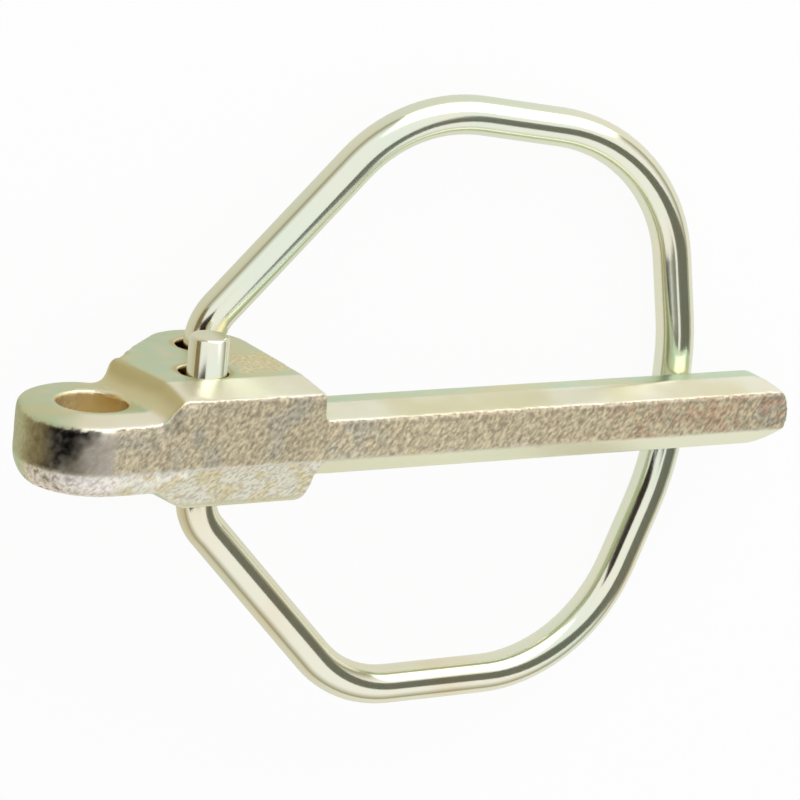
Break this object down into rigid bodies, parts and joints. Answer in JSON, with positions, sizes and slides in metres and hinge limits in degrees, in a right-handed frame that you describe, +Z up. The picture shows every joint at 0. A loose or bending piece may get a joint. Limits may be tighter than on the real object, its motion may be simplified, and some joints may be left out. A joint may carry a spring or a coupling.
{
  "type": "linch pin",
  "caption": "Forged linch pin with a chain eye and an offset ear at its head, and a sprung wire bail that swings over and snaps against the shank.",
  "frame": {"origin": "middle of the eye's hole, halfway through the eye", "axes": "+Y along the eye's hole, out of its crowned side; +X towards the tip along the surface the pin lies on; +Z up. The pin lies on its ear and its bail, so the shank points 10.5 degrees below +X."},
  "size_m": [0.1046, 0.0786, 0.0306],
  "materials": {
    "forged_steel": "yellow passivated zinc on a drop forging, rough where the flash was trimmed",
    "spring_wire": "yellow passivated zinc on drawn spring wire, bright"
  },
  "bodies": {
    "pin": {"pin_body": "forged_steel"},
    "bail": {"wire_bail": "spring_wire"}
  },
  "joints": [
    {"name": "bail_swing", "type": "hinge", "parent": "pin", "child": "bail", "pos_m": [0.01625, 0, -0.00861], "axis": [0, 1, 0], "range_deg": [0, 180], "deforming": ["wire_bail"]}
  ]
}
